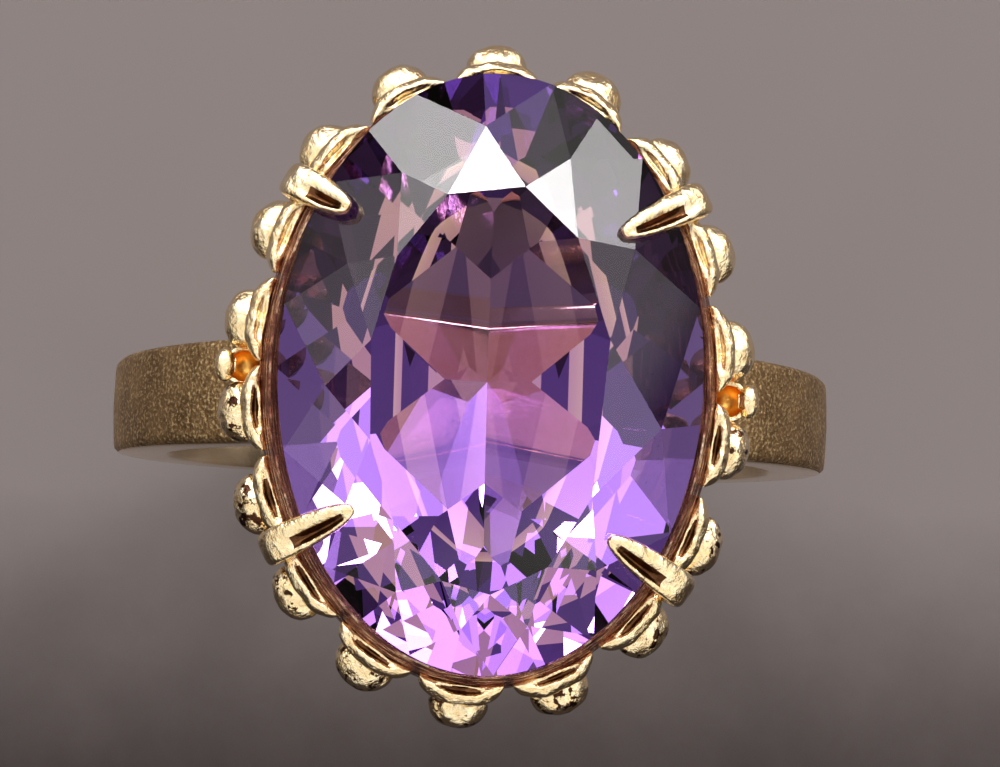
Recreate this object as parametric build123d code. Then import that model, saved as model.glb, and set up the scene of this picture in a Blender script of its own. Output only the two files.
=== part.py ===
from build123d import *
import os
from math import atan2, cos, hypot, pi, radians, sin, sqrt, tan

# Cocktail ring with a large oval amethyst in a scalloped, granulated basket head.
# Frame: origin at the centre of the finger hole, +Y along the finger, +Z up through the stone.
# All lengths are millimetres.

# Shank
finger_radius = 9.1             # US size 8
hoop_side_radius = 10.8         # outer half width of the hoop, at the sides of the finger
hoop_top_radius = 10.3          # outer half height of the hoop
band_half_top = 1.62            # half the band's width under the head
band_half_side = 1.40           # the same beside the finger
band_half_bottom = 1.15         # the same at the back of the hoop
band_outer_round = 0.42

# Stone: an oval cut with a keel in place of a point
stone_half_width = 6.0
stone_half_length = 8.5
girdle_height = 16.0            # middle of the girdle above the finger's axis
girdle_half_thickness = 0.15
crown_height = 2.1
table_half_width = 3.42
table_half_length = 5.80
table_shift = (-0.10, -0.55)    # the table was cut off centre, towards the front
# Directions of the crown's main facets, in degrees from +X: hand cut, so not evenly spaced
crown_directions = [14, 47, 76, 113, 142, 168, 196, 221, 250, 273, 301, 329]
star_depth = 0.40               # share of the crown's height that the star facets take
pavilion_mains = 12
pavilion_slope = radians(43)
pavilion_break = 0.62           # share of the pavilion's depth that the lower girdle facets take
keel_mains = 8
keel_slope = radians(38)
keel_break = 0.55               # share of the pavilion's depth at which the keel facets start
stone_clearance = 0.02

# Head: every oval of the setting is counted out from this one
head_half_width = 6.12
head_half_length = 8.26
head_shift = (-0.04, -0.20)     # the stone sits a little back of the middle of its setting

# Collet: the oval wall that carries the stone, by offset from the girdle's outline
collet_top = -0.08
collet_shoulder = -0.66
collet_bottom = -2.10
collet_lip_offset = 0.08
collet_wall_offset = 0.34
collet_inner_offset = -0.62

# Scalloped border: one petal and one granule to each of the stations
stations = 18
border_offset = 0.28            # the line along which the stations are spaced
# Hand set, the stations come a little late clockwise, most of all towards the -Y end
station_lag = 0.10              # as a share of the step between stations
station_skew = 0.03             # how much more of that falls on the -X side
petal_share = 0.98              # a petal's length as a share of the step between stations
petal_reach = 0.78              # offset of the middle of its outer edge
petal_bottom = -1.10
petal_top = -0.46
hollow_share = 0.72             # the hollow in a petal's top, measured in the same way
hollow_reach = 0.69
hollow_offset = 0.44            # inner edge of the hollow
hollow_depth = 0.18
granule_radius = 0.70
granule_offset = 0.80
granule_height = -1.66

# Claws, by the places between stations where they stand
claw_stations = {
    "claw_back_right": 2.5,
    "claw_front_right": 6.5,
    "claw_front_left": 11.5,
    "claw_back_left": 15.5,
}
# Each claw's middle line, as outward offset, height, width and thickness, from tip to foot
claw_line = [
    (-1.58, 1.50, 0.26, 0.22),
    (-1.10, 1.32, 0.66, 0.38),
    (-0.55, 1.04, 0.88, 0.50),
    (0.06, 0.70, 0.98, 0.56),
    (0.60, 0.26, 1.00, 0.60),
    (0.80, -0.50, 0.96, 0.62),
    (0.76, -1.20, 0.90, 0.64),
    (0.60, -1.95, 0.82, 0.64),
    (0.05, -3.00, 0.80, 0.64),
]
short_claw = "claw_back_left"
short_reach = 0.62              # how far it reaches over the stone, as a share of the others' reach
short_from = 0.06               # the offset at which it starts to be shorter
claw_foot_height = -5.45
claw_foot_width = 0.85
claw_ridge_share = 0.62         # where the claw's sides turn in to its ridge

# Base rail: the oval ring on which the head stands
rail_half_width = 2.85
rail_half_length = 4.85
rail_half_thickness = 0.45
rail_bottom = 9.95
rail_top = 10.85
rail_round = 0.2

# Shoulders: a post on each side, with a cup and a small bead at its top
shoulder_stations = {"right": 4.5, "left": 13.5}
cup_offset = 0.76
cup_height = -1.95
cup_outer_radius = 0.60
cup_inner_radius = 0.42
cup_rim = 0.12                  # the rim's height above the cup's centre
bead_offset = 1.32
bead_height = -1.72
bead_radius = 0.30
# Each post's middle line, as distance from the middle, height, thickness and width
post_line = [
    (6.75, 7.20, 0.90, 1.50),
    (6.98, 9.00, 0.76, 1.20),
    (7.02, 11.20, 0.62, 0.94),
    (6.94, 13.50, 0.52, 0.74),
]


def outward(angle, half_width, half_length):
    """The direction straight out of an oval at that angle."""
    return Vector(cos(angle) / half_width, sin(angle) / half_length, 0).normalized()


def border_point(angle):
    """A point on the line along which the stations are spaced, and the way out from it."""
    across, along = head_half_width + border_offset, head_half_length + border_offset
    point = Vector(across * cos(angle), along * sin(angle), 0) + Vector(*head_shift, 0)
    return point, outward(angle, across, along)


def outline_frame(angle, offset, height):
    """A frame on the head's outline: X along it, Y outward, Z up."""
    point, normal = border_point(angle)
    origin = point + normal * (offset - border_offset)
    return Plane(
        origin=origin + Vector(0, 0, girdle_height + height),
        x_dir=normal.cross(Vector(0, 0, 1)),
        z_dir=(0, 0, 1),
    )


def even_angle(share):
    """The angle reached after a share of the border's length, clockwise from the +Y end."""
    steps = 3600
    across, along = head_half_width + border_offset, head_half_length + border_offset
    pieces = []
    for step in range(steps):
        angle = pi / 2 - 2 * pi * (step + 0.5) / steps
        pieces.append(hypot(across * sin(angle), along * cos(angle)))
    wanted = share * sum(pieces)
    walked = 0.0
    for step, piece in enumerate(pieces):
        if walked + piece >= wanted:
            return pi / 2 - 2 * pi * (step + (wanted - walked) / piece) / steps
        walked += piece
    return pi / 2 - 2 * pi


def station_angle(station):
    """The angle of a station, or of a place between two."""
    turn = 2 * pi * station / stations
    late = station_lag * (1 - cos(turn)) - station_skew * sin(turn)
    return even_angle((station + late) / stations)


def oval(half_width, half_length, height):
    return Pos(0, 0, height) * Ellipse(half_width, half_length)


def grown_oval(offset, height):
    """The head's oval, grown by an offset."""
    place = Pos(*head_shift, 0)
    return place * oval(head_half_width + offset, head_half_length + offset, girdle_height + height)


# ---------------------------------------------------------------- stone


def facet(a, b, c):
    """The plane through three points, facing away from the stone's middle."""
    normal = (b - a).cross(c - a).normalized()
    if normal.dot(a - Vector(*table_shift, girdle_height)) < 0:
        normal = normal * -1
    return a, normal


def meeting(first, second, height):
    """The point at a height where two facet planes meet."""
    (p, m), (q, n) = first, second
    right_m = m.dot(p) - m.Z * height
    right_n = n.dot(q) - n.Z * height
    scale = m.X * n.Y - m.Y * n.X
    return Vector(
        (right_m * n.Y - right_n * m.Y) / scale, (m.X * right_n - n.X * right_m) / scale, height
    )


def girdle_point(angle, height):
    return Vector(stone_half_width * cos(angle), stone_half_length * sin(angle), height)


def break_facets(mains, corner_height, angles, level):
    """The facets between the mains and the girdle, and the corner at which each pair meets."""
    found, corners = [], []
    for i, main in enumerate(mains):
        start, end = angles[i], angles[i + 1]
        corner = meeting(main, mains[(i + 1) % len(mains)], corner_height)
        middle = girdle_point((start + end) / 2, level)
        found.append(facet(corner, girdle_point(start, level), middle))
        found.append(facet(corner, girdle_point(end, level), middle))
        corners.append(corner)
    return found, corners


def crown_facets():
    level = girdle_height + girdle_half_thickness
    top = level + crown_height
    angles = [radians(direction) for direction in crown_directions]
    angles.append(angles[0] + 2 * pi)
    mains, table = [], []
    for angle in angles[:-1]:
        inner = Vector(
            table_half_width * cos(angle) + table_shift[0],
            table_half_length * sin(angle) + table_shift[1],
            top,
        )
        rim = girdle_point(angle, level)
        along = Vector(-stone_half_width * sin(angle), stone_half_length * cos(angle), 0)
        mains.append(facet(inner, rim, rim + along))
        table.append(inner)
    breaks, corners = break_facets(mains, top - star_depth * crown_height, angles, level)
    stars = [facet(table[i - 1], table[i], corners[i - 1]) for i in range(len(table))]
    return [(table[0], Vector(0, 0, 1))] + mains + stars + breaks


def tier(count, slope, level, drop, turn):
    """A ring of pavilion facets that would all reach the girdle's outline if raised by the drop."""
    angles = [turn + 2 * pi * i / count for i in range(count + 1)]
    planes = []
    for angle in angles[:-1]:
        way = outward(angle, stone_half_width, stone_half_length)
        normal = Vector(way.X * sin(slope), way.Y * sin(slope), -cos(slope))
        planes.append((girdle_point(angle, level) - Vector(0, 0, drop), normal))
    return planes, angles


def pavilion_facets():
    level = girdle_height - girdle_half_thickness
    depth = stone_half_width * tan(pavilion_slope)
    mains, angles = tier(pavilion_mains, pavilion_slope, level, 0, 0)
    breaks, _ = break_facets(mains, level - pavilion_break * depth, angles, level)
    # the keel facets meet the mains at a share of the depth
    reach = keel_break * depth / tan(pavilion_slope)
    drop = keel_break * depth - reach * tan(keel_slope)
    keels, _ = tier(keel_mains, keel_slope, level, drop, pi / keel_mains)
    return mains + breaks + keels


def cut_stone(clearance):
    """The faceted stone, or its seat when every face is moved out by a clearance."""
    across, along = stone_half_width + clearance, stone_half_length + clearance
    blank = extrude(oval(across, along, girdle_height - 7), amount=11)
    for point, normal in crown_facets() + pavilion_facets():
        face = Plane(origin=point + normal * clearance, z_dir=normal)
        blank = split(blank, bisect_by=face, keep=Keep.BOTTOM)
    return blank


# ---------------------------------------------------------------- head


def make_collet():
    shoulder = grown_oval(collet_wall_offset, collet_shoulder)
    upper = loft([shoulder, grown_oval(collet_lip_offset, collet_top)], ruled=True)
    lower = extrude(shoulder, amount=collet_bottom - collet_shoulder)
    inside = extrude(grown_oval(collet_inner_offset, collet_bottom - 1), amount=4)
    return upper + lower - inside


def leaf(station, share, reach, inner_offset, height):
    """A crescent on the collet's wall, as long as a share of the step between stations."""
    root = inner_offset - 0.05
    tips = [
        outline_frame(station_angle(station + side * share / 2), root, height).origin
        for side in (-1, 1)
    ]
    middle = outline_frame(station_angle(station), reach, height).origin
    arc = ThreePointArc(tips[0], middle, tips[1])
    chord = Line(tips[1], tips[0])
    return make_face([arc, chord]) - grown_oval(inner_offset, height)


def make_petal(station):
    body = leaf(station, petal_share, petal_reach, collet_wall_offset, petal_bottom)
    hollow = leaf(station, hollow_share, hollow_reach, hollow_offset, petal_top - hollow_depth)
    petal = extrude(body, amount=petal_top - petal_bottom, dir=(0, 0, 1))
    return petal - extrude(hollow, amount=1, dir=(0, 0, 1))


def make_granule(station):
    frame = outline_frame(station_angle(station), granule_offset, granule_height)
    under = Plane(origin=(0, 0, girdle_height + petal_bottom), z_dir=(0, 0, 1))
    return split(frame * Sphere(granule_radius), bisect_by=under, keep=Keep.BOTTOM)


def rail_reach(angle):
    """How far out of the outline the rail's middle line lies, straight in from that angle."""
    start, direction = border_point(angle)
    u, v = start.X / rail_half_width, start.Y / rail_half_length
    p, q = direction.X / rail_half_width, direction.Y / rail_half_length
    square, half, rest = p * p + q * q, u * p + v * q, u * u + v * v - 1
    return border_offset + (-half + sqrt(half * half - square * rest)) / square


def ridge_section(frame, width, thickness, lean):
    """A flat-backed section with a ridge, square to the claw's middle line."""
    place = frame * Plane(origin=(0, 0, 0), x_dir=(1, 0, 0), z_dir=(0, -sin(lean), cos(lean)))
    side = thickness * (claw_ridge_share - 0.5)
    points = [
        (-width / 2, -thickness / 2),
        (width / 2, -thickness / 2),
        (width / 2, side),
        (0, thickness / 2),
        (-width / 2, side),
    ]
    return place * make_face(Polyline(*points, close=True))


def shortened(line):
    """The claw's middle line with its reach over the stone cut down."""
    root_height = next(up for out, up, _, _ in line if out == short_from)
    return [
        (
            short_from + (out - short_from) * short_reach,
            root_height + (up - root_height) * short_reach,
            width,
            thickness,
        )
        if up > root_height
        else (out, up, width, thickness)
        for out, up, width, thickness in line
    ]


def make_claw(name, angle):
    foot = (rail_reach(angle), claw_foot_height, claw_foot_width, claw_line[-1][3])
    line = (shortened(claw_line) if name == short_claw else claw_line) + [foot]
    sections = []
    for i, (out, up, width, thickness) in enumerate(line):
        before, after = line[max(i - 1, 0)], line[min(i + 1, len(line) - 1)]
        lean = atan2(after[0] - before[0], before[1] - after[1])
        sections.append(ridge_section(outline_frame(angle, out, up), width, thickness, lean))
    return loft(sections, ruled=True)


def make_rail():
    grow = rail_half_thickness
    ring = oval(rail_half_width + grow, rail_half_length + grow, rail_bottom) - oval(
        rail_half_width - grow, rail_half_length - grow, rail_bottom
    )
    rail = extrude(ring, amount=rail_top - rail_bottom)
    return fillet(rail.edges(), rail_round)


# ---------------------------------------------------------------- shoulders and shank


def cup_ball(station, radius):
    return outline_frame(station_angle(station), cup_offset, cup_height) * Sphere(radius)


def make_cup(station):
    cup = cup_ball(station, cup_outer_radius) - cup_ball(station, cup_inner_radius)
    rim = Plane(origin=(0, 0, girdle_height + cup_height + cup_rim), z_dir=(0, 0, 1))
    return split(cup, bisect_by=rim, keep=Keep.BOTTOM)


def make_bead(station):
    return outline_frame(station_angle(station), bead_offset, bead_height) * Sphere(bead_radius)


def make_post(station):
    under = outline_frame(station_angle(station), cup_offset, cup_height).origin
    side = 1 if under.X > 0 else -1
    sections = [
        Pos(side * out, under.Y, up) * RectangleRounded(thickness, width, 0.4 * thickness)
        for out, up, thickness, width in post_line
    ]
    return loft(sections)


def make_shank():
    profile = Plane.XZ * (Ellipse(hoop_side_radius, hoop_top_radius) - Circle(finger_radius))
    hoop = extrude(profile, amount=band_half_top, both=True)
    top, reach = hoop_top_radius, hoop_side_radius + 1
    half = [
        (band_half_bottom, -top),
        (band_half_side, 0),
        (band_half_top, top),
    ]
    outline = half + [(-y, z) for y, z in reversed(half)]
    width = extrude(Plane.YZ * make_face(Polyline(*outline, close=True)), amount=reach, both=True)
    shank = hoop & width
    outer = [
        edge
        for edge in shank.edges()
        if edge.bounding_box().size.Y < band_half_bottom
        and hypot((edge @ 0.5).X, (edge @ 0.5).Z) > finger_radius + band_outer_round
    ]
    return fillet(outer, band_outer_round)


# ---------------------------------------------------------------- assembly


def build():
    parts = {}
    seat = cut_stone(stone_clearance)
    collet = make_collet()
    shank = make_shank()
    rail = make_rail() - shank
    claws = {name: make_claw(name, station_angle(place)) for name, place in claw_stations.items()}

    parts["amethyst"] = cut_stone(0)
    parts["shank"] = shank
    parts["base_rail"] = rail
    for station in range(stations):
        petal = make_petal(station)
        for claw in claws.values():
            petal = petal - claw
        parts[f"petal_{station + 1:02d}"] = petal
        parts[f"granule_{station + 1:02d}"] = make_granule(station) - collet
    for word, place in shoulder_stations.items():
        cup = make_cup(place) - collet
        post = make_post(place) - shank - cup_ball(place, cup_outer_radius)
        parts[f"shoulder_cup_{word}"] = cup
        parts[f"shoulder_bead_{word}"] = make_bead(place) - cup
        parts[f"shoulder_post_{word}"] = post
    for name, claw in claws.items():
        parts[name] = claw - seat - rail
        collet = collet - claw
    parts["collet"] = collet - seat
    return parts


def main():
    os.makedirs("parts", exist_ok=True)
    for name, shape in build().items():
        export_step(shape, f"parts/{name}.step")


main()
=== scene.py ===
import bpy
import math
from mathutils import Matrix, Vector


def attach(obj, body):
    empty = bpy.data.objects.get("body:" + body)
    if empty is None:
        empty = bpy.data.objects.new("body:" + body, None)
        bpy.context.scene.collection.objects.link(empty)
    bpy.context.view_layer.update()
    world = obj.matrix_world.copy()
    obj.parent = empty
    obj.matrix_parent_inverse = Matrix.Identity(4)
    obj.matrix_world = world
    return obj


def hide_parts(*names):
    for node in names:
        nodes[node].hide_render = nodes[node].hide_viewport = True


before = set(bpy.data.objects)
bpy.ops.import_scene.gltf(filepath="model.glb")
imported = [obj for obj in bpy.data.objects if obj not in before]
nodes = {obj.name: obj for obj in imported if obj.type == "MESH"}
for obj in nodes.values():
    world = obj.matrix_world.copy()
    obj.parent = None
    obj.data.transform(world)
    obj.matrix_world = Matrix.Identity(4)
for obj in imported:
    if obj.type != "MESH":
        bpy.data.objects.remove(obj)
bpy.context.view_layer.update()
mm = 0.001
stations = 18
lumpSize = 0.55        # the soft lumps of the castings, from one to the next

# the stone's outline, which the seats are cut to
stone = {
    "halfWidth": 6.0,
    "halfLength": 8.5,
}

# the head's oval at the girdle: every place in the setting is counted from it
head = {
    "halfWidth": 6.12,
    "halfLength": 8.26,
    "shift": (-0.04, -0.20),
    "girdleHeight": 16.0,
}


# small helpers

def deselectAll():
    if bpy.context.mode != "OBJECT":
        bpy.ops.object.mode_set(mode="OBJECT")
    bpy.ops.object.select_all(action="DESELECT")


def makeActive(obj):
    deselectAll()
    obj.select_set(True)
    bpy.context.view_layer.objects.active = obj


def nameNew(name):
    obj = bpy.context.active_object
    obj.name = name
    obj.data.name = name
    return obj


def openEdit(obj):
    makeActive(obj)
    bpy.ops.object.mode_set(mode="EDIT")
    bpy.ops.mesh.select_mode(type="FACE")
    bpy.ops.mesh.select_all(action="DESELECT")


def closeEdit():
    bpy.ops.object.mode_set(mode="OBJECT")


def pickFaces(obj, test):
    # leaves edit mode to set the selection, then comes back
    bpy.ops.object.mode_set(mode="OBJECT")
    for vert in obj.data.vertices:
        vert.select = False
    for edge in obj.data.edges:
        edge.select = False
    for face in obj.data.polygons:
        face.select = test(face.center / mm, face.normal)
    bpy.ops.object.mode_set(mode="EDIT")


def tidyMesh(obj):
    makeActive(obj)
    bpy.ops.object.mode_set(mode="EDIT")
    bpy.ops.mesh.select_all(action="SELECT")
    bpy.ops.mesh.remove_doubles(threshold=0.002 * mm)
    bpy.ops.mesh.normals_make_consistent(inside=False)
    bpy.ops.object.mode_set(mode="OBJECT")


def addModifier(obj, kind, **values):
    modifier = obj.modifiers.new(kind.title(), kind)
    for key, value in values.items():
        setattr(modifier, key, value)
    makeActive(obj)
    bpy.ops.object.modifier_apply(modifier=modifier.name)


def roundOff(obj, width, segments=3, angle=50):
    addModifier(obj, "BEVEL", width=width * mm, segments=segments, limit_method="ANGLE",
                angle_limit=math.radians(angle), harden_normals=False)


def smoothOut(obj, levels):
    addModifier(obj, "SUBSURF", levels=levels, render_levels=levels)


def makeLumps():
    texture = bpy.data.textures.new("castLumps", "CLOUDS")
    texture.noise_scale = lumpSize * mm
    texture.noise_depth = 1
    return texture


castLumps = makeLumps()


def roughen(obj, height):
    # the soft lumps of a hand-finished casting, different at every place
    addModifier(obj, "DISPLACE", texture=castLumps, texture_coords="GLOBAL", strength=height * mm,
                mid_level=0.5)


def shade(obj, angle=None):
    makeActive(obj)
    if angle is None:
        bpy.ops.object.shade_smooth()
    else:
        bpy.ops.object.shade_smooth_by_angle(angle=math.radians(angle))


def copyPiece(obj, name):
    twin = obj.copy()
    twin.data = obj.data.copy()
    twin.name = name
    twin.data.name = name
    bpy.context.scene.collection.objects.link(twin)
    return twin


def settle(obj):
    # puts the piece's place, turn and size into its mesh
    makeActive(obj)
    bpy.ops.object.transform_apply(location=True, rotation=True, scale=True)


def handOver(obj, material, slot, *replaced):
    chosen = [face.material_index for face in obj.data.polygons]
    obj.data.materials.clear()
    for each in (material if isinstance(material, list) else [material]):
        obj.data.materials.append(each)
    for face, index in zip(obj.data.polygons, chosen):
        face.material_index = index
    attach(obj, "root")
    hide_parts(*replaced)


# shader helpers

def newMaterial(name):
    material = bpy.data.materials.new(name)
    material.use_nodes = True
    tree = material.node_tree
    return material, tree, tree.nodes["Principled BSDF"]


def addNode(tree, kind, **inputs):
    node = tree.nodes.new(kind)
    for key, value in inputs.items():
        node.inputs[key.replace("_", " ")].default_value = value
    return node


def link(tree, source, target):
    tree.links.new(source, target)


def ramp(tree, source, stops):
    node = tree.nodes.new("ShaderNodeValToRGB")
    while len(node.color_ramp.elements) < len(stops):
        node.color_ramp.elements.new(0.5)
    for element, (place, colour) in zip(node.color_ramp.elements, stops):
        element.position = place
        element.color = (*colour, 1)
    link(tree, source, node.inputs["Fac"])
    return node.outputs["Color"]


def spread(tree, source, low, high):
    node = tree.nodes.new("ShaderNodeMapRange")
    node.inputs["To Min"].default_value = low
    node.inputs["To Max"].default_value = high
    link(tree, source, node.inputs["Value"])
    return node.outputs["Result"]


def fade(tree, source, start, end):
    # 0 at the start, 1 at the end, with soft ends
    low, high = (start, end) if start < end else (end, start)
    node = tree.nodes.new("ShaderNodeMapRange")
    node.interpolation_type = "SMOOTHSTEP"
    node.inputs["From Min"].default_value, node.inputs["From Max"].default_value = low, high
    if start > end:
        node.inputs["To Min"].default_value, node.inputs["To Max"].default_value = 1.0, 0.0
    link(tree, source, node.inputs["Value"])
    return node.outputs["Result"]


def times(tree, first, second):
    node = tree.nodes.new("ShaderNodeMath")
    node.operation = "MULTIPLY"
    link(tree, first, node.inputs[0])
    link(tree, second, node.inputs[1])
    return node.outputs[0]


def blend(tree, share, first, second):
    # each of the three is a socket to link or a value to set
    node = tree.nodes.new("ShaderNodeMix")
    node.data_type = "RGBA"
    sockets = node.inputs["Factor"], node.inputs[6], node.inputs[7]
    for source, target in zip((share, first, second), sockets):
        if isinstance(source, bpy.types.NodeSocket):
            link(tree, source, target)
        else:
            target.default_value = source
    return node.outputs[2]


# the cast skin: how strongly its patches and hairlines show
castLook = {
    "toneSpread": (-0.6, 1.6),
    "hairlineSpread": (0.3, 0.7),
    "hairlineLift": 0.12,
}


def buildCastSkin():
    # the faint unevenness of hand-polished cast metal: tone patches, fine hairlines, soft waves
    group = bpy.data.node_groups.new("castSkin", "ShaderNodeTree")
    face = group.interface
    for label, kind in (("Bright", "NodeSocketColor"), ("Deep", "NodeSocketColor"),
                        ("Patch Scale", "NodeSocketFloat"), ("Hairline Scale", "NodeSocketFloat"),
                        ("Rough Low", "NodeSocketFloat"), ("Rough High", "NodeSocketFloat")):
        face.new_socket(name=label, in_out="INPUT", socket_type=kind)
    for label, kind in (("Colour", "NodeSocketColor"), ("Roughness", "NodeSocketFloat"),
                        ("Height", "NodeSocketFloat")):
        face.new_socket(name=label, in_out="OUTPUT", socket_type=kind)
    start = group.nodes.new("NodeGroupInput")
    end = group.nodes.new("NodeGroupOutput")
    place = group.nodes.new("ShaderNodeTexCoord")
    patches = addNode(group, "ShaderNodeTexNoise", Detail=4.0, Roughness=0.55)
    hairlines = addNode(group, "ShaderNodeTexNoise", Detail=6.0, Roughness=0.7, Distortion=0.6)
    link(group, place.outputs["Object"], patches.inputs["Vector"])
    link(group, place.outputs["Object"], hairlines.inputs["Vector"])
    link(group, start.outputs["Patch Scale"], patches.inputs["Scale"])
    link(group, start.outputs["Hairline Scale"], hairlines.inputs["Scale"])
    tone = spread(group, patches.outputs["Fac"], *castLook["toneSpread"])
    colour = blend(group, tone, start.outputs["Deep"], start.outputs["Bright"])
    link(group, colour, end.inputs["Colour"])
    rough = group.nodes.new("ShaderNodeMapRange")
    low, high = castLook["hairlineSpread"]
    rough.inputs["From Min"].default_value, rough.inputs["From Max"].default_value = low, high
    link(group, hairlines.outputs["Fac"], rough.inputs["Value"])
    link(group, start.outputs["Rough Low"], rough.inputs["To Min"])
    link(group, start.outputs["Rough High"], rough.inputs["To Max"])
    link(group, rough.outputs["Result"], end.inputs["Roughness"])
    lift = addNode(group, "ShaderNodeMath")
    lift.operation = "MULTIPLY_ADD"
    lift.inputs[1].default_value = castLook["hairlineLift"]
    link(group, hairlines.outputs["Fac"], lift.inputs[0])
    link(group, patches.outputs["Fac"], lift.inputs[2])
    link(group, lift.outputs[0], end.inputs["Height"])
    return group


castSkin = buildCastSkin()


def metalOf(name, look):
    material, tree, shader = newMaterial(name)
    skin = tree.nodes.new("ShaderNodeGroup")
    skin.node_tree = castSkin
    skin.inputs["Bright"].default_value = (*look["bright"], 1)
    skin.inputs["Deep"].default_value = (*look["deep"], 1)
    skin.inputs["Patch Scale"].default_value = look["patches"]
    skin.inputs["Hairline Scale"].default_value = look["hairlines"]
    skin.inputs["Rough Low"].default_value = look["rough"][0]
    skin.inputs["Rough High"].default_value = look["rough"][1]
    link(tree, skin.outputs["Colour"], shader.inputs["Base Color"])
    link(tree, skin.outputs["Roughness"], shader.inputs["Roughness"])
    shader.inputs["Metallic"].default_value = 1.0
    bump = addNode(tree, "ShaderNodeBump", Strength=look["bump"], Distance=look["depth"] * mm)
    link(tree, skin.outputs["Height"], bump.inputs["Height"])
    link(tree, bump.outputs["Normal"], shader.inputs["Normal"])
    return material, tree, shader, skin, bump


def addRelief(tree, shader, under, height, relief):
    # a finer relief over the cast skin
    strength, depth = relief
    fine = addNode(tree, "ShaderNodeBump", Strength=strength, Distance=depth * mm)
    link(tree, height, fine.inputs["Height"])
    link(tree, under.outputs["Normal"], fine.inputs["Normal"])
    link(tree, fine.outputs["Normal"], shader.inputs["Normal"])


# finishes: two colours, two noise scales, least and most roughness, and the skin's relief

finishes = {
    "polished": {"bright": (0.98, 0.85, 0.59), "deep": (0.87, 0.62, 0.30), "patches": 2400.0,
                 "hairlines": 7000.0, "rough": (0.04, 0.10), "bump": 0.8, "depth": 0.14},
    "smooth": {"bright": (0.97, 0.82, 0.56), "deep": (0.88, 0.66, 0.38), "patches": 900.0,
               "hairlines": 7000.0, "rough": (0.08, 0.18), "bump": 0.3, "depth": 0.05},
    # painted shade: a dark brown laid into the petals' slits and the bottoms of the claws' hollows
    "hollow": {"bright": (0.17, 0.075, 0.03), "deep": (0.05, 0.02, 0.01), "patches": 1800.0,
               "hairlines": 7000.0, "rough": (0.12, 0.25), "bump": 0.6, "depth": 0.10},
    "band": {"bright": (0.35, 0.22, 0.10), "deep": (0.15, 0.085, 0.035), "patches": 700.0,
             "hairlines": 9000.0, "rough": (0.38, 0.55), "bump": 0.5, "depth": 0.05},
    "wall": {"bright": (0.42, 0.20, 0.15), "deep": (0.14, 0.045, 0.04), "patches": 1200.0,
             "hairlines": 7000.0, "rough": (0.18, 0.30), "bump": 0.3, "depth": 0.04},
    # painted light: a warm orange glow standing in for light bounced round inside the shoulder cups
    "pitGlow": {"bright": (0.95, 0.58, 0.16), "deep": (0.75, 0.33, 0.06), "patches": 1500.0,
            "hairlines": 7000.0, "rough": (0.25, 0.40), "bump": 0.3, "depth": 0.04},
    # painted shade: dark specks over the polish of the front granules
    "shadeSpeckScale": 3000.0,
    "shadeSpeckEdge": ((0.56, (0.0, 0.0, 0.0)), (0.60, (1.0, 1.0, 1.0))),
    "shadeSpeck": (0.055, 0.022, 0.012, 1.0),
    "stipplePitch": 5200.0,
    "stippleRelief": (0.6, 0.05),
    "fleckEdge": ((0.50, (0.0, 0.0, 0.0)), (0.68, (1.0, 1.0, 1.0))),
    "fleck": (0.66, 0.48, 0.25, 1.0),
    "streaksRound": 40.0,    # cells round the wall, and up each mm of it
    "streaksUp": 13.0,
    "streaks": ((0.40, (0.07, 0.018, 0.018)), (0.53, (0.30, 0.10, 0.07)), (0.63, (0.90, 0.66, 0.46))),
    "streakShare": 0.75,
    "streakRelief": (0.8, 0.08),
}


def makePolishedGold():
    return metalOf("polishedGold", finishes["polished"])[0]


def makePitGlowGold():
    return metalOf("pitGlowGold", finishes["pitGlow"])[0]


def makeShadeSpeckledGold():
    # painted shade: small dark specks laid over the polish
    material, tree, shader, skin, _ = metalOf("shadeSpeckledGold", finishes["polished"])
    place = tree.nodes.new("ShaderNodeTexCoord")
    shadeSpecks = addNode(tree, "ShaderNodeTexNoise", Scale=finishes["shadeSpeckScale"], Detail=3.0, Roughness=0.6)
    link(tree, place.outputs["Object"], shadeSpecks.inputs["Vector"])
    share = ramp(tree, shadeSpecks.outputs["Fac"], finishes["shadeSpeckEdge"])
    link(tree, blend(tree, share, skin.outputs["Colour"], finishes["shadeSpeck"]), shader.inputs["Base Color"])
    return material


def makeSmoothGold():
    return metalOf("smoothGold", finishes["smooth"])[0]


# painted shade for the slits and hollows
def makeHollowShadeGold():
    return metalOf("hollowGold", finishes["hollow"])[0]


def makeStippledGold():
    # satin face of the band: close, shallow dimples with brighter rims
    material, tree, shader, skin, bump = metalOf("stippledGold", finishes["band"])
    place = tree.nodes.new("ShaderNodeTexCoord")
    dimples = addNode(tree, "ShaderNodeTexVoronoi", Scale=finishes["stipplePitch"], Randomness=1.0)
    link(tree, place.outputs["Object"], dimples.inputs["Vector"])
    grain = addNode(tree, "ShaderNodeTexNoise", Scale=2.0 * finishes["stipplePitch"], Detail=3.0)
    link(tree, place.outputs["Object"], grain.inputs["Vector"])
    height = addNode(tree, "ShaderNodeMath")
    height.operation = "ADD"
    link(tree, dimples.outputs["Distance"], height.inputs[0])
    link(tree, grain.outputs["Fac"], height.inputs[1])
    # bright flecks where the stipple's rims catch the light
    flecks = ramp(tree, grain.outputs["Fac"], finishes["fleckEdge"])
    link(tree, blend(tree, flecks, skin.outputs["Colour"], finishes["fleck"]), shader.inputs["Base Color"])
    addRelief(tree, shader, bump, height.outputs[0], finishes["stippleRelief"])
    return material


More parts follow.
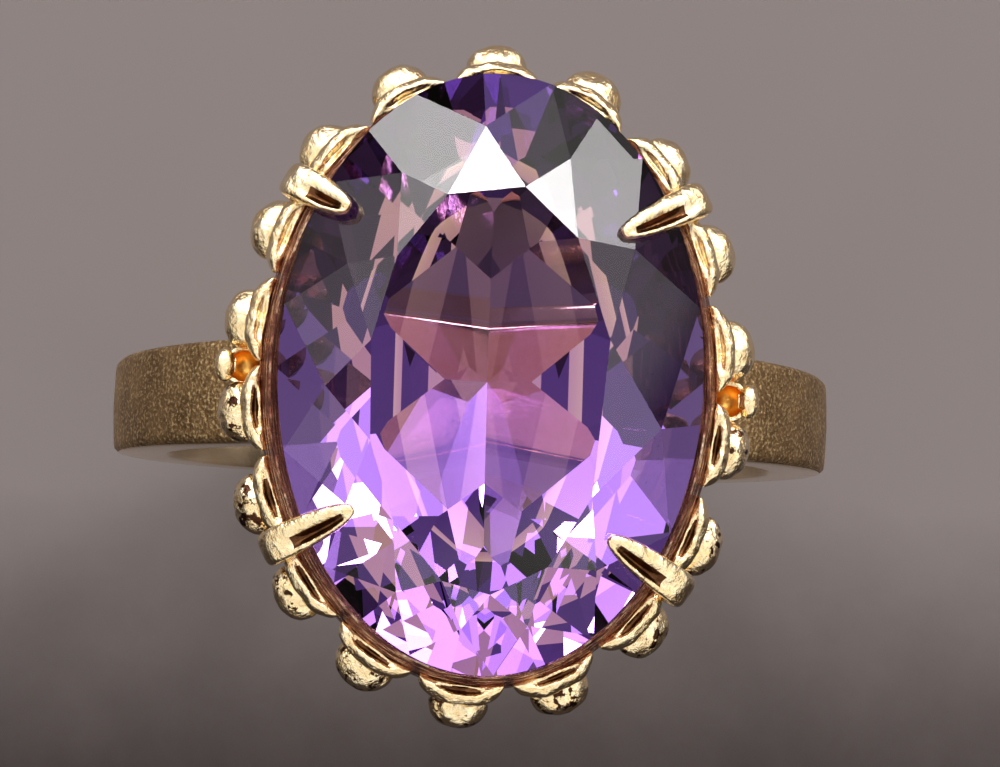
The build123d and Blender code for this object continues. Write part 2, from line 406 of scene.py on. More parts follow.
def makeWallGold():
    # the collet's wall: file marks that run along it, dark between
    material, tree, shader, skin, bump = metalOf("wallGold", finishes["wall"])
    seam = tree.nodes.new("ShaderNodeUVMap")
    seam.uv_map = "wall"
    place = addNode(tree, "ShaderNodeMapping", Scale=(finishes["streaksRound"], finishes["streaksUp"], 1.0))
    link(tree, seam.outputs["UV"], place.inputs["Vector"])
    grooves = addNode(tree, "ShaderNodeTexNoise", Scale=1.0, Detail=3.0, Roughness=0.65)
    grooves.noise_dimensions = "2D"
    link(tree, place.outputs["Vector"], grooves.inputs["Vector"])
    streaks = ramp(tree, grooves.outputs["Fac"], finishes["streaks"])
    colour = blend(tree, finishes["streakShare"], skin.outputs["Colour"], streaks)
    link(tree, colour, shader.inputs["Base Color"])
    addRelief(tree, shader, bump, grooves.outputs["Fac"], finishes["streakRelief"])
    return material


gem = {
    "pale": (0.90, 0.74, 1.0),
    "rich": (0.80, 0.58, 0.98),
    "ior": 1.544,
    "zoneScale": 160.0,      # the crystal's paler and richer zones
    "zones": (0.3, 0.7),
    "bodyColour": (0.515, 0.19, 0.845),
    "bodyDensity": 95.0,
}


def makeVioletStone():
    material, tree, shader = newMaterial("violetStone")
    place = tree.nodes.new("ShaderNodeTexCoord")
    zones = addNode(tree, "ShaderNodeTexNoise", Scale=gem["zoneScale"], Detail=2.0)
    link(tree, place.outputs["Object"], zones.inputs["Vector"])
    rich, pale = gem["zones"]
    tint = ramp(tree, zones.outputs["Fac"], ((rich, gem["rich"]), (pale, gem["pale"])))
    link(tree, tint, shader.inputs["Base Color"])
    shader.inputs["Roughness"].default_value = 0.0
    shader.inputs["IOR"].default_value = gem["ior"]
    shader.inputs["Transmission Weight"].default_value = 1.0
    body = tree.nodes.new("ShaderNodeVolumeAbsorption")
    body.inputs["Color"].default_value = (*gem["bodyColour"], 1)
    body.inputs["Density"].default_value = gem["bodyDensity"]
    out = tree.nodes["Material Output"]
    link(tree, body.outputs["Volume"], out.inputs["Volume"])
    return material


polishedGold = makePolishedGold()
stippledGold = makeStippledGold()
wallGold = makeWallGold()
pitGlowGold = makePitGlowGold()
shadeSpeckledGold = makeShadeSpeckledGold()
smoothGold = makeSmoothGold()
hollowGold = makeHollowShadeGold()
violetStone = makeVioletStone()
print("finishes made")


# stone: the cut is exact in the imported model, so it stays and gets its material

nodes["amethyst"].data.materials.clear()
nodes["amethyst"].data.materials.append(violetStone)
print("stone finished")


# turned and swept shapes

def turnProfile(name, profile, steps):
    # a closed profile of (distance out, height) spun round Z
    deselectAll()
    bpy.ops.mesh.primitive_circle_add(vertices=len(profile), radius=mm, fill_type="NOTHING")
    obj = nameNew(name)
    for vert, (out, up) in zip(obj.data.vertices, profile):
        vert.co = Vector((out, 0, up)) * mm
    makeActive(obj)
    bpy.ops.object.mode_set(mode="EDIT")
    bpy.ops.mesh.select_all(action="SELECT")
    bpy.ops.mesh.spin(steps=steps, angle=2 * math.pi, center=(0, 0, 0), axis=(0, 0, 1))
    bpy.ops.object.mode_set(mode="OBJECT")
    tidyMesh(obj)
    return obj


def drawToOval(obj, stretch):
    # turns a round piece into an oval one with the same wall all round
    for vert in obj.data.vertices:
        reach = math.hypot(vert.co.x, vert.co.y)
        vert.co.y += stretch * mm * vert.co.y / reach


def headShift():
    across, along = head["shift"]
    return Matrix.Translation((across * mm, along * mm, 0))


def sweepRings(name, rings):
    # a straight bar extruded ring by ring, then each ring moved to its place
    count = len(rings[0])
    deselectAll()
    bpy.ops.mesh.primitive_circle_add(vertices=count, radius=mm, fill_type="NGON")
    obj = nameNew(name)
    bpy.ops.object.mode_set(mode="EDIT")
    bpy.ops.mesh.select_mode(type="FACE")
    bpy.ops.mesh.select_all(action="SELECT")
    for _ in rings[1:]:
        bpy.ops.mesh.extrude_region_move(TRANSFORM_OT_translate={"value": (0, 0, mm)})
    bpy.ops.object.mode_set(mode="OBJECT")
    for vert in obj.data.vertices:
        level = round(vert.co.z / mm)
        turn = round(math.atan2(vert.co.y, vert.co.x) / (2 * math.pi) * count) % count
        vert.co = Vector(rings[level][turn]) * mm
    tidyMesh(obj)
    return obj


def ringsAlong(line, profile):
    # line: (out, up, width, thickness) from foot to tip; X is the width, Y the way out, Z up
    rings = []
    for i, (out, up, width, thickness) in enumerate(line):
        before, after = line[max(i - 1, 0)], line[min(i + 1, len(line) - 1)]
        run = Vector((0, after[0] - before[0], after[1] - before[1])).normalized()
        away = Vector((0, run.z, -run.y))
        rings.append([Vector((0, out, up)) + Vector((x * width, 0, 0)) + away * (y * thickness)
                      for x, y in profile])
    return rings


# shank: flat polished sides, stippled face

shank = {
    "insideRadius": 9.1,
    "halfHeight": 10.3,
    "halfWidth": 10.8,
    "topHalf": 1.62,
    "sideHalf": 1.40,
    "bottomHalf": 1.15,
    "steps": 192,
    "faceRound": 0.34,
    "polishedAbove": 8.3,
    "edgeRound": 0.06,
    "faceFrom": 0.6,      # how squarely a face looks outwards where the stipple begins
    "layFrom": 3.0,       # the outline's points are spun side by side and then go to their places
    "layStep": 0.2,
}


def bandHalf(z):
    # half the band's width at a height on the hoop
    share = z / shank["halfHeight"]
    if share > 0:
        return shank["sideHalf"] + share * (shank["topHalf"] - shank["sideHalf"])
    return shank["sideHalf"] + share * (shank["sideHalf"] - shank["bottomHalf"])


def makeShank():
    inner, outer = 0.0, 1.0
    edge, crown = shank["edgeRound"], shank["faceRound"]
    # the profile as (share of the wall, share of the half width, trim in mm along and across)
    profile = []
    for side in (-1, 1):
        corner = [(inner, 0.0, 0.0, -0.0), (inner, 1.0, 0.0, -2 * edge), (inner, 1.0, edge, -0.3 * edge),
                  (inner, 1.0, 3 * edge, 0.0), (0.5, 1.0, 0.0, 0.0), (outer, 1.0, -crown, -0.01),
                  (outer, 1.0, -0.5 * crown, -0.13 * crown), (outer, 1.0, -0.13 * crown, -0.5 * crown),
                  (outer, 1.0, -0.02, -crown), (outer, 0.45, 0.0, 0.0), (outer, 0.0, 0.02, 0.0)]
        corner = [(w, side * h, t, side * a) for w, h, t, a in corner]
        profile += corner if side < 0 else corner[::-1][1:-1]
    row = [(shank["layFrom"] + shank["layStep"] * i, 0.0) for i in range(len(profile))]
    obj = turnProfile("shankBand", row, shank["steps"])
    for vert in obj.data.vertices:
        reach = math.hypot(vert.co.x, vert.co.y) / mm
        wall, half, along, across = profile[round((reach - shank["layFrom"]) / shank["layStep"])]
        turn = math.atan2(vert.co.y, vert.co.x)
        inside = shank["insideRadius"]
        outside = Vector((shank["halfWidth"] * math.cos(turn), shank["halfHeight"] * math.sin(turn)))
        radius = inside + wall * (outside.length - inside) + along
        angle = math.atan2(outside.y, outside.x) * wall + turn * (1 - wall)
        x, z = radius * math.cos(angle), radius * math.sin(angle)
        vert.co = Vector((x, half * bandHalf(z) + across, z)) * mm
    tidyMesh(obj)
    shade(obj, 40)
    handOver(obj, [smoothGold, stippledGold], "satin_gold", "shank")
    for face in obj.data.polygons:
        spot = face.center / mm
        out = Vector((face.normal.x, face.normal.z)).dot(Vector((spot.x, spot.z)).normalized())
        underHead = spot.z > shank["polishedAbove"]
        face.material_index = 1 if out > shank["faceFrom"] and not underHead else 0
    return obj


makeShank()
print("shank made")


# collet: the oval wall under the girdle

collet = {
    "profile": [
        (0.03, -0.03), (0.08, -0.03), (0.11, -0.08), (0.335, -0.64), (0.345, -0.70), (0.34, -0.78),
        (0.34, -2.02), (0.28, -2.10), (-0.56, -2.10), (-0.62, -2.02), (-0.62, -1.30), (-0.25, -0.74),
        (0.025, -0.20),
    ],
    "steps": 720,
    "seatDrop": 0.20,      # the lip lies this far under the girdle where the stone overhangs it
    "seatSlope": 1.30,
    "seatEdge": -0.02,     # the cut starts just outside the stone's outline
}


def cutSeat(obj):
    # nothing of the wall stands inside the stone
    for vert in obj.data.vertices:
        spot = vert.co / mm
        share = math.hypot(spot.x / stone["halfWidth"], spot.y / stone["halfLength"])
        inside = (1 - share) * math.hypot(spot.x, spot.y) / share
        if inside > collet["seatEdge"]:
            ceiling = head["girdleHeight"] - collet["seatDrop"] - collet["seatSlope"] * max(inside, 0)
            vert.co.z = min(vert.co.z, ceiling * mm)


def makeCollet():
    profile = [(head["halfWidth"] + out, head["girdleHeight"] + up) for out, up in collet["profile"]]
    obj = turnProfile("colletWall", profile, collet["steps"])
    wall = obj.data.uv_layers.new(name="wall")
    for face in obj.data.polygons:
        turns = []
        for index in face.loop_indices:
            spot = obj.data.vertices[obj.data.loops[index].vertex_index].co
            turns.append(math.atan2(spot.y, spot.x) / (2 * math.pi))
        if max(turns) - min(turns) > 0.5:    # a face across the seam
            turns = [turn + 1 if turn < 0 else turn for turn in turns]
        for index, turn in zip(face.loop_indices, turns):
            spot = obj.data.vertices[obj.data.loops[index].vertex_index].co
            wall.data[index].uv = (turn, spot.z / mm)
    drawToOval(obj, head["halfLength"] - head["halfWidth"])
    obj.data.transform(headShift())
    cutSeat(obj)
    shade(obj, 35)
    handOver(obj, wallGold, "rose_gold", "collet")
    return obj


makeCollet()
print("collet made")


# border: petals end to end, a granule outside each

border = {
    "offset": 0.28,        # from the head's oval to the line of the petals
    "granuleOffset": 0.80,
    "granuleHeight": -1.66,
    "lag": 0.10,           # the stations come late clockwise, most towards the -Y end
    "skew": 0.03,
    "steps": 3600,
}


def wayOut(angle):
    across, along = head["halfWidth"] + border["offset"], head["halfLength"] + border["offset"]
    return Vector((math.cos(angle) / across, math.sin(angle) / along, 0)).normalized()


def spotAt(angle, offset):
    # the border's line, and then straight out from it
    across, along = head["halfWidth"] + border["offset"], head["halfLength"] + border["offset"]
    onLine = Vector((across * math.cos(angle), along * math.sin(angle), 0)) + Vector((*head["shift"], 0))
    return onLine + wayOut(angle) * (offset - border["offset"])


def standAt(angle, offset, height):
    # a place beside the border: X along it, Y outward, Z up
    out = wayOut(angle)
    up = Vector((0, 0, 1))
    turn = Matrix((out.cross(up), out, up)).transposed().to_4x4()
    spot = spotAt(angle, offset) + up * (head["girdleHeight"] + height)
    return Matrix.Translation(spot * mm) @ turn


def lateness(share):
    # how late a station comes, in steps between stations
    turn = 2 * math.pi * share
    return border["lag"] * (1 - math.cos(turn)) - border["skew"] * math.sin(turn)


def stationAngle(share):
    # clockwise from the +Y end along the border's line
    share += lateness(share) / stations
    steps = border["steps"]
    walk = [0.0]
    spots = [spotAt(math.pi / 2 - 2 * math.pi * k / steps, border["offset"]) for k in range(steps + 1)]
    for first, second in zip(spots, spots[1:]):
        walk.append(walk[-1] + (second - first).length)
    wanted = (share % 1.0) * walk[-1]
    k = next(k for k in range(steps) if walk[k + 1] >= wanted)
    part = (wanted - walk[k]) / (walk[k + 1] - walk[k])
    return math.pi / 2 - 2 * math.pi * (k + part) / steps


def makeBorderCurve():
    # the line that the petals are bent along
    deselectAll()
    bpy.ops.curve.primitive_bezier_circle_add(radius=1)
    curve = bpy.context.active_object
    curve.name = "borderLine"
    curve.scale = ((head["halfWidth"] + border["offset"]) * mm,
                   (head["halfLength"] + border["offset"]) * mm, 1)
    bpy.ops.object.transform_apply(location=False, rotation=False, scale=True)
    curve.data.use_radius = False
    return curve


petal = {
    "halfLength": 1.21,
    "back": 0.02,         # its inner edge, out from the line
    "width": 0.60,
    "top": -0.50,
    "depth": 0.62,
    "crown": 0.16,        # how far the middle of its width stands above its edges
    "outerDrop": 0.16,
    "slit": 0.20,         # a short slit between its thin inner edge and its broad outer one
    "slitAt": 0.30,
    "slitWide": 0.16,
    "slitLong": 0.62,
    "shadeLong": 0.46,     # the part of the slit that gets painted shade
    "shadeWide": 0.17,
    "shadeFacing": 0.2,
    "shadeStations": (5, 13),    # the first and the last with painted shade in the slit
    "tipDrop": 0.10,
    "tipShare": 0.20,     # how wide its tips are, as a share of its middle
    "fullness": 3.0,
    "endRound": 0.8,
    "crownFullness": 0.6,
    "cellsAlong": 26,
    "cellsAcross": 14,
    # how far down each step of its sides is, and how much it draws in
    "steps": ((0.5, (0.985, 0.97, 0.4)), (1.0, (0.90, 0.74, 0.2))),
    "lumps": 0.10,
}


def petalHeight(along, share):
    lift = petal["crown"] * abs(math.sin(math.pi * share)) ** petal["crownFullness"]
    lift -= petal["outerDrop"] * share ** 3
    away = (share - petal["slitAt"]) / petal["slitWide"]
    ends = max(1 - (along / petal["slitLong"]) ** 2, 0)
    slit = petal["slit"] * ends * math.exp(-away * away)
    return petal["top"] + lift - slit - petal["tipDrop"] * along ** 2


def petalWidth(along):
    swell = (1 - abs(along) ** petal["fullness"]) ** petal["endRound"]
    return petal["width"] * (petal["tipShare"] + (1 - petal["tipShare"]) * swell)


# the slit faces that get painted shade
def inSlitShade(spot, normal):
    along = spot.x / petal["halfLength"]
    if abs(along) > petal["shadeLong"] or normal.z < petal["shadeFacing"]:
        return False
    share = (spot.y - petal["back"]) / petalWidth(along)
    return abs(share - petal["slitAt"]) < petal["shadeWide"] * (1 - abs(along))


def makePetalMaster():
    deselectAll()
    bpy.ops.mesh.primitive_grid_add(
        x_subdivisions=petal["cellsAlong"], y_subdivisions=petal["cellsAcross"], size=mm)
    obj = nameNew("petalMaster")
    for vert in obj.data.vertices:
        along = min(max(2 * vert.co.x / mm, -1.0), 1.0)
        share = min(max(vert.co.y / mm + 0.5, 0.0), 1.0)
        across = share * petalWidth(along)
        spot = Vector((along * petal["halfLength"], petal["back"] + across, petalHeight(along, share)))
        vert.co = spot * mm
    openEdit(obj)
    bpy.ops.mesh.select_all(action="SELECT")
    # its sides go down in steps and draw in towards the wall
    for share, size in petal["steps"]:
        bpy.ops.mesh.extrude_region_move(
            TRANSFORM_OT_translate={"value": (0, 0, -0.5 * petal["depth"] * mm)})
        level = petal["top"] - share * petal["depth"]
        bpy.ops.transform.resize(value=size, center_override=(0, petal["back"] * mm, level * mm))
    closeEdit()
    tidyMesh(obj)
    smoothOut(obj, 1)
    # painted shade: the slit faces take the second finish
    for face in obj.data.polygons:
        face.material_index = 1 if inSlitShade(face.center / mm, face.normal) else 0
    return obj


def makePetals():
    master = makePetalMaster()
    curve = makeBorderCurve()
    length = sum(spline.calc_length() for spline in curve.data.splines)
    for number in range(stations):
        obj = copyPiece(master, f"petal{number + 1:02d}")
        # the curve starts at the -Y end, which is the ninth step from the first petal
        late = lateness(number / stations)
        shift = ((number + late + stations // 2) % stations) * length / stations
        obj.data.transform(Matrix.Translation((shift, 0, 0)))
        addModifier(obj, "CURVE", object=curve, deform_axis="POS_X")
        obj.data.transform(headShift() @ Matrix.Translation((0, 0, head["girdleHeight"] * mm)))
        roughen(obj, petal["lumps"])
        shade(obj, 60)
        # the front petals' slits get painted shade, the others stay polished
        first, last = petal["shadeStations"]
        slitGold = hollowGold if first <= number <= last else polishedGold
        handOver(obj, [polishedGold, slitGold], "polished_gold", f"petal_{number + 1:02d}")
    bpy.data.objects.remove(master)
    bpy.data.objects.remove(curve)


makePetals()
print("petals made")


granule = {
    "radius": 0.70,
    "stretch": 1.24,     # longer along the border than across it
    "flat": 0.94,
    "neck": 0.10,
    "neckFrom": -0.9,
    "neckSpread": (1.3, 0.1, 1.3),
    "lumps": 0.11,
    "shadeSpeckledStations": (5, 13),    # the first and the last with painted shade specks
    "uneven": (0.0, 0.02, -0.03, 0.01, 0.03, -0.01, 0.02, -0.02, 0.0),
}


def makeGranuleMaster():
    deselectAll()
    bpy.ops.mesh.primitive_uv_sphere_add(segments=32, ring_count=20, radius=granule["radius"] * mm)
    obj = nameNew("granuleMaster")
    openEdit(obj)
    # the solder neck that joins the granule to the wall behind it
    pickFaces(obj, lambda spot, normal: normal.y < granule["neckFrom"])
    bpy.ops.mesh.extrude_region_move(TRANSFORM_OT_translate={"value": (0, -granule["neck"] * mm, 0)})
    bpy.ops.transform.resize(value=granule["neckSpread"], center_override=(0, -granule["radius"] * mm, 0))
    bpy.ops.mesh.select_all(action="SELECT")
    bpy.ops.transform.resize(value=(granule["stretch"], 1, granule["flat"]), center_override=(0, 0, 0))
    closeEdit()
    smoothOut(obj, 1)
    return obj


def makeGranules():
    master = makeGranuleMaster()
    for number in range(stations):
        obj = copyPiece(master, f"granule{number + 1:02d}")
        size = 1 + granule["uneven"][number % len(granule["uneven"])]
        place = standAt(stationAngle(number / stations), border["granuleOffset"], border["granuleHeight"])
        obj.matrix_world = place @ Matrix.Scale(size, 4)
        settle(obj)
        roughen(obj, granule["lumps"])
        shade(obj)
        # the front granules get painted shade specks, the others stay polished
        first, last = granule["shadeSpeckledStations"]
        finish = shadeSpeckledGold if first <= number <= last else polishedGold
        handOver(obj, finish, "polished_gold", f"granule_{number + 1:02d}")
    bpy.data.objects.remove(master)


makeGranules()
print("granules made")


# claws: talons with a ridge, folded over the crown

claw = {
    "places": {"back_right": 2.5, "front_right": 6.5, "front_left": 11.5, "back_left": 15.5},
    # the fourth point is the hollow's bottom, and each ring sets how deep it lies
    "profile": [(0.5, 0.10), (0.47, 0.34), (0.35, 0.47), (0.17, 0.0), (0.0, 0.50), (-0.26, 0.50),
                (-0.44, 0.38), (-0.5, 0.12), (-0.5, -0.42), (-0.40, -0.5), (0.40, -0.5), (0.5, -0.42)],
    # out from the outline, above the girdle, width, thickness and how deep the hollow is
    "line": [(-2.3, -5.45, 0.85, 0.66, 0.0), (0.05, -3.00, 0.80, 0.64, 0.0),
             (0.60, -1.95, 0.82, 0.64, 0.0), (0.80, -1.20, 0.90, 0.62, 0.0),
             (0.92, -0.50, 0.97, 0.60, 0.0), (0.97, -0.06, 1.00, 0.58, 0.0),
             (0.90, 0.26, 1.01, 0.57, 0.0), (0.66, 0.46, 1.01, 0.55, 0.0),
             (0.30, 0.66, 0.99, 0.53, 0.16), (-0.12, 0.88, 0.95, 0.50, 0.40),
             (-0.54, 1.08, 0.86, 0.47, 0.42), (-0.94, 1.27, 0.74, 0.43, 0.30),
             (-1.24, 1.40, 0.58, 0.38, 0.10), (-1.46, 1.48, 0.40, 0.32, 0.0),
             (-1.57, 1.51, 0.20, 0.22, 0.0)],
    "lumps": 0.02,
    "shadeDepth": 0.07,     # a hollow deeper than this gets painted shade at its bottom
    "near": 0.003,
    # the claw at the back left reaches less far over the stone
    "short": "back_left",
    "shortShare": 0.62,
    "shortFrom": (0.30, 0.66),
}


def clawLine(name):
    if name != claw["short"]:
        return claw["line"]
    out, up = claw["shortFrom"]
    share = claw["shortShare"]
    return [(out + (row[0] - out) * share, up + (row[1] - up) * share, *row[2:]) if row[1] > up else row
            for row in claw["line"]]


def clawRings(name):
    # the hollow lies towards the front
    side = 1 if "right" in name else -1
    outline = [(x * side, y) for x, y in claw["profile"]]
    line = clawLine(name)
    rings = []
    for row, ring in zip(line, ringsAlong([row[:4] for row in line], outline)):
        top = (ring[2] + ring[4]) / 2
        inward = (ring[8] - ring[7]).normalized()
        ring[3] = top + inward * row[4]
        rings.append(ring)
    return rings


def paintHollowShade(obj, rings, line):
    # painted shade: the faces that reach the hollow's bottom take the dark finish
    floor = [ring[3] * mm for ring, row in zip(rings, line) if row[4] > claw["shadeDepth"]]
    for face in obj.data.polygons:
        touched = [obj.data.vertices[index].co for index in face.vertices]
        low = sum(1 for spot in touched if any((spot - each).length < claw["near"] * mm for each in floor))
        face.material_index = 1 if low > 1 else 0


def makeClaws():
    for name, place in claw["places"].items():
        rings = clawRings(name)
        obj = sweepRings("claw" + name.title().replace("_", ""), rings)
        paintHollowShade(obj, rings, clawLine(name))
        smoothOut(obj, 2)
        obj.matrix_world = standAt(stationAngle(place / stations), 0, 0)
        settle(obj)
        roughen(obj, claw["lumps"])
        shade(obj, 60)
        handOver(obj, [polishedGold, hollowGold], "polished_gold", f"claw_{name}")


makeClaws()
print("claws made")


# base rail under the head

rail = {
    "halfWidth": 2.85,
    "halfLength": 4.85,
    "bottom": 9.97,
    "top": 10.85,
    "halfThickness": 0.45,
    "round": 0.16,
    "steps": 128,
}


def makeRail():
    inside = rail["halfWidth"] - rail["halfThickness"]
    outside = rail["halfWidth"] + rail["halfThickness"]
    profile = [(outside, rail["bottom"]), (outside, rail["top"]),
               (inside, rail["top"]), (inside, rail["bottom"])]
    obj = turnProfile("baseRail", profile, rail["steps"])
    drawToOval(obj, rail["halfLength"] - rail["halfWidth"])
    roundOff(obj, rail["round"])
    shade(obj, 40)
    handOver(obj, smoothGold, "polished_gold", "base_rail")


makeRail()
print("rail made")


# shoulders: a post, a cup and a bead on each side

shoulder = {
    "profile": [(0.5, 0.3), (0.32, 0.5), (-0.32, 0.5), (-0.5, 0.3), (-0.5, -0.3), (-0.32, -0.5),
                (0.32, -0.5), (0.5, -0.3)],
    # distance from the middle, height, width and thickness, from the band up
    "line": [(6.75, 7.20, 1.50, 0.90), (6.98, 9.00, 1.20, 0.76), (7.05, 10.10, 1.05, 0.68),
             (7.02, 11.20, 0.94, 0.62), (7.00, 12.40, 0.82, 0.56), (6.94, 13.50, 0.74, 0.52)],
    "places": {"right": 4.5, "left": 13.5},
    "cupAt": (0.76, -1.95),      # out from the outline, above the girdle
    "cupRadius": 0.60,
    "cupWall": 0.15,
    "cupRim": 0.12,
    "cupEdge": 0.04,
    "pitGlowFacing": -0.5,    # what faces the cup's middle is its pit, which gets a painted warm glow
    "beadAt": (1.32, -1.72),
    "beadRadius": 0.30,
    "beadStretch": 1.3,
}


def makePost(word, across):
    line = ringsAlong(shoulder["line"], shoulder["profile"])
    post = sweepRings(f"shoulderPost{word.title()}", line)
    side = 1 if word == "right" else -1
    post.rotation_euler.z = -side * math.pi / 2
    post.location.y = across
    settle(post)
    smoothOut(post, 2)
    shade(post, 60)
    handOver(post, stippledGold, "satin_gold", f"shoulder_post_{word}")


def makeCup(word, place):
    # a ball cut open at its rim and given a wall
    deselectAll()
    bpy.ops.mesh.primitive_uv_sphere_add(
        segments=40, ring_count=24, radius=shoulder["cupRadius"] * mm, location=place)
    cup = nameNew(f"shoulderCup{word.title()}")
    settle(cup)
    openEdit(cup)
    bpy.ops.mesh.select_all(action="SELECT")
    rim = place + Vector((0, 0, shoulder["cupRim"] * mm))
    bpy.ops.mesh.bisect(plane_co=rim, plane_no=(0, 0, 1), use_fill=False, clear_outer=True)
    closeEdit()
    addModifier(cup, "SOLIDIFY", thickness=shoulder["cupWall"] * mm, offset=-1.0)
    roundOff(cup, shoulder["cupEdge"])
    shade(cup, 60)
    handOver(cup, [polishedGold, pitGlowGold], "polished_gold", f"shoulder_cup_{word}")
    # painted light: the cup's inner faces take the warm glow
    for face in cup.data.polygons:
        arm = (face.center - place).normalized()
        face.material_index = 1 if face.normal.dot(arm) < shoulder["pitGlowFacing"] else 0


def makeBead(word, angle):
    bead = makeGranuleMaster()
    bead.name = f"shoulderBead{word.title()}"
    size = shoulder["beadRadius"] / granule["radius"]
    long = Matrix.Diagonal((size * shoulder["beadStretch"], size, size, 1))
    bead.matrix_world = standAt(angle, *shoulder["beadAt"]) @ long
    settle(bead)
    shade(bead)
    handOver(bead, polishedGold, "polished_gold", f"shoulder_bead_{word}")


def makeShoulders():
    for word, where in shoulder["places"].items():
        angle = stationAngle(where / stations)
        place = standAt(angle, *shoulder["cupAt"]).translation
        makePost(word, place.y)
        makeCup(word, place)
        makeBead(word, angle)


makeShoulders()
print("shoulders made")


# floor, lights and camera

studio = {
    "floorHeight": -10.32,
    "floorSize": 2.4,
    "slope": (-14, 3),       # painted shadow: from dark at the front to pale behind, across this stretch of Y
    "toneTop": 0.9,
    "roughness": 0.9,
    "gloss": 0.1,
    "mottle": 500.0,
    "mottleDepth": 0.16,
    "floorPale": (0.148, 0.128, 0.127),
    "floorShade": (0.025, 0.019, 0.018),
}


def makeFloor():
    deselectAll()
    bpy.ops.mesh.primitive_plane_add(size=studio["floorSize"], location=(0, 0, studio["floorHeight"] * mm))
    floor = nameNew("studioFloor")
    settle(floor)
    material, tree, shader = newMaterial("paleFloor")
    place = tree.nodes.new("ShaderNodeTexCoord")
    parts = tree.nodes.new("ShaderNodeSeparateXYZ")
    link(tree, place.outputs["Object"], parts.inputs["Vector"])
    # painted shadow: the floor's colour darkens towards the front
    shadedFrom, paleFrom = studio["slope"]
    slope = fade(tree, parts.outputs["Y"], shadedFrom * mm, paleFrom * mm)
    cloth = addNode(tree, "ShaderNodeTexNoise", Scale=studio["mottle"], Detail=5.0, Roughness=0.7)
    link(tree, place.outputs["Object"], cloth.inputs["Vector"])
    shift = addNode(tree, "ShaderNodeMath")
    shift.operation = "MULTIPLY_ADD"
    shift.inputs[1].default_value = studio["mottleDepth"]
    link(tree, cloth.outputs["Fac"], shift.inputs[0])
    link(tree, slope, shift.inputs[2])
    tone = ramp(tree, shift.outputs[0], ((0.5 * studio["mottleDepth"], studio["floorShade"]),
                                         (studio["toneTop"], studio["floorPale"])))
    link(tree, tone, shader.inputs["Base Color"])
    shader.inputs["Roughness"].default_value = studio["roughness"]
    shader.inputs["Specular IOR Level"].default_value = studio["gloss"]
    floor.data.materials.append(material)


def aim(obj, target):
    obj.rotation_euler = (Vector(target) - obj.location).to_track_quat("-Z", "Y").to_euler()


def addSoftbox(name, place, size, watts, colour, target=(0, 0, head["girdleHeight"] * mm)):
    light = bpy.data.lights.new(name, "AREA")
    light.shape = "RECTANGLE"
    light.size, light.size_y = size
    light.energy = watts
    light.color = colour
    obj = bpy.data.objects.new(name, light)
    obj.location = place
    aim(obj, target)
    bpy.context.scene.collection.objects.link(obj)
    return obj


tent = {
    "pale": (1.0, 0.97, 0.93),
    "dim": (0.13, 0.12, 0.14),
    "dark": (0.03, 0.022, 0.02),
    "strength": 1.6,
    "rise": (0.0, 0.35),
    "cardScale": 4.2,
    "cardEdges": (0.425, 0.455),
    "front": (-0.50, -0.10),        # from dark to dim across this stretch of Y
    "lensWay": (-0.038, -0.086, 1.0),
    "lensHole": (0.992, 0.980),     # it's dark round the lens
    "crossed": (0.4, 0.6),          # between light that hasn't crossed the stone and light that has
    # windows behind, as place, size and watts
    "windows": (
        ((-0.20, 0.27, 0.29), (0.19, 0.36), 0.50),
        ((0.01, 0.27, 0.31), (0.17, 0.34), 0.24),
        ((0.20, 0.25, 0.29), (0.17, 0.34), 0.36),
        # three small ones that light single facets of the crown
        ((-0.20, 0.336, 0.096), (0.10, 0.10), 0.22),
        ((0.229, 0.276, 0.193), (0.08, 0.08), 0.36),
        ((0.294, 0.253, 0.112), (0.10, 0.08), 0.15),
    ),
    # the glow that a finger gives back inside the head
    "warm": {"place": (0, 0, 0.0128), "size": (0.004, 0.009), "watts": 0.00008,
             "colour": (1.0, 0.80, 0.36)},
    "windowColour": (1.0, 0.98, 0.97),
    "keyColour": (1.0, 0.98, 0.96),
    "keyPlace": (-0.03, 0.30, 0.215),
    "keySize": (0.10, 0.05),
    "keyWatts": 0.40,
}


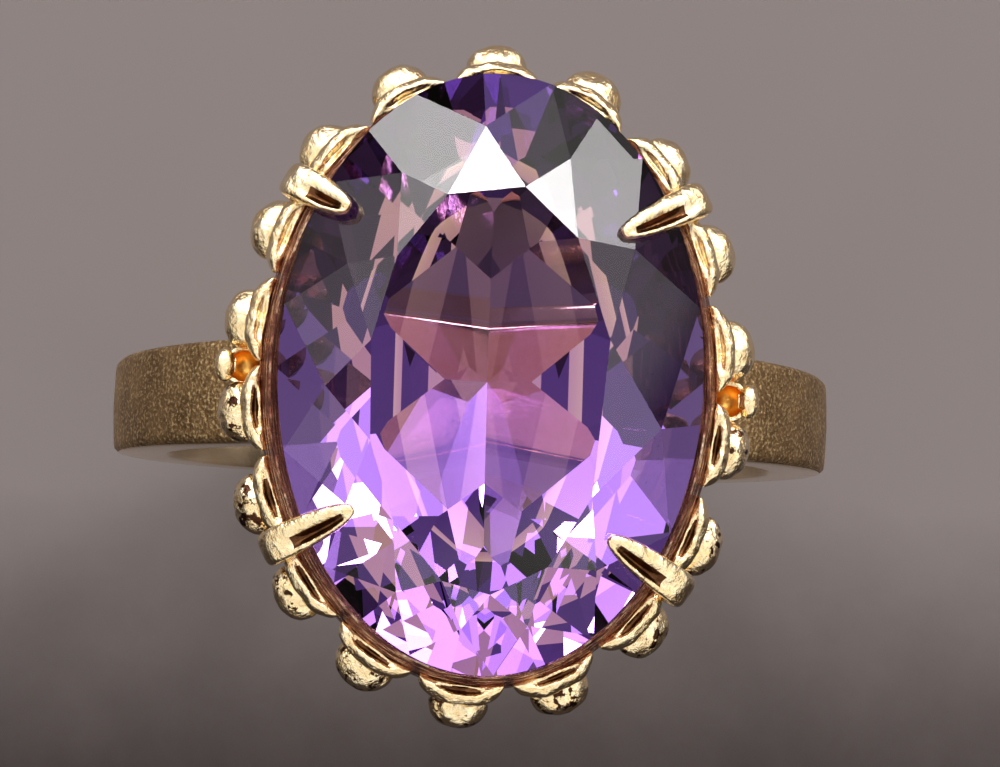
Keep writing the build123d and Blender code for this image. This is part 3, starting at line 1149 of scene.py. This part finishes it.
def makeTent():
    world = bpy.data.worlds.new("tent")
    world.use_nodes = True
    tree = world.node_tree
    sheet = tree.nodes["Background"]
    place = tree.nodes.new("ShaderNodeTexCoord")
    parts = tree.nodes.new("ShaderNodeSeparateXYZ")
    link(tree, place.outputs["Generated"], parts.inputs["Vector"])
    toLens = addNode(tree, "ShaderNodeVectorMath")
    toLens.operation = "DOT_PRODUCT"
    toLens.inputs[1].default_value = Vector(tent["lensWay"]).normalized()
    link(tree, place.outputs["Generated"], toLens.inputs[0])
    hole = fade(tree, toLens.outputs["Value"], *tent["lensHole"])
    # what the metal sees: bright all over but for cards and gaps
    cards = addNode(tree, "ShaderNodeTexNoise", Scale=tent["cardScale"], Detail=2.0, Roughness=0.6)
    link(tree, place.outputs["Generated"], cards.inputs["Vector"])
    gaps = fade(tree, cards.outputs["Fac"], *tent["cardEdges"])
    bright = times(tree, times(tree, fade(tree, parts.outputs["Z"], *tent["rise"]), gaps), hole)
    forMetal = ramp(tree, bright, ((0.0, tent["dark"]), (1.0, tent["pale"])))
    # what the light that crosses the stone comes from: dark towards the front and round the lens
    back = times(tree, fade(tree, parts.outputs["Y"], *tent["front"]), hole)
    forStone = ramp(tree, back, ((0.0, tent["dark"]), (1.0, tent["dim"])))
    path = tree.nodes.new("ShaderNodeLightPath")
    crossed = fade(tree, path.outputs["Transmission Depth"], *tent["crossed"])
    link(tree, blend(tree, crossed, forMetal, forStone), sheet.inputs["Color"])
    sheet.inputs["Strength"].default_value = tent["strength"]
    bpy.context.scene.world = world


def makeLights():
    makeTent()
    for number, (place, size, watts) in enumerate(tent["windows"]):
        addSoftbox(f"window{number + 1}", place, size, watts, tent["windowColour"])
    warm = tent["warm"]
    addSoftbox("warmBounce", warm["place"], warm["size"], warm["watts"], warm["colour"], (0, 0, 0))
    addSoftbox("keyBox", tent["keyPlace"], tent["keySize"], tent["keyWatts"], tent["keyColour"])


camera = {
    "distance": 200.0,
    "front": 4.9,        # degrees from straight above, towards the front
    "left": 2.2,
    "roll": 1.7,
    "lens": 256.0,
    "sensor": 36.0,
    "clip": (0.01, 10.0),
    "shift": (0.253, -0.267),   # the stone's middle sits this far off the frame's middle, in mm
}


def makeCamera():
    data = bpy.data.cameras.new("camera")
    data.lens = camera["lens"]
    data.sensor_width = camera["sensor"]
    data.clip_start, data.clip_end = camera["clip"]
    obj = bpy.data.objects.new("camera", data)
    bpy.context.scene.collection.objects.link(obj)
    front, left = math.radians(camera["front"]), math.radians(camera["left"])
    back = Vector((-math.tan(left), -math.tan(front), 1)).normalized()
    up = (Vector((0, 1, 0)) - back * back.y).normalized()
    side = up.cross(back)
    roll = Matrix.Rotation(math.radians(camera["roll"]), 3, back)
    up, side = roll @ up, roll @ side
    across, rise = camera["shift"]
    aimAt = Vector((0, 0, head["girdleHeight"])) + side * across + up * rise
    turn = Matrix((side, up, back)).transposed().to_4x4()
    obj.matrix_world = Matrix.Translation((aimAt + back * camera["distance"]) * mm) @ turn
    bpy.context.scene.camera = obj


makeFloor()
makeLights()
makeCamera()
bpy.context.scene.view_settings.view_transform = "Standard"
print("studio set")
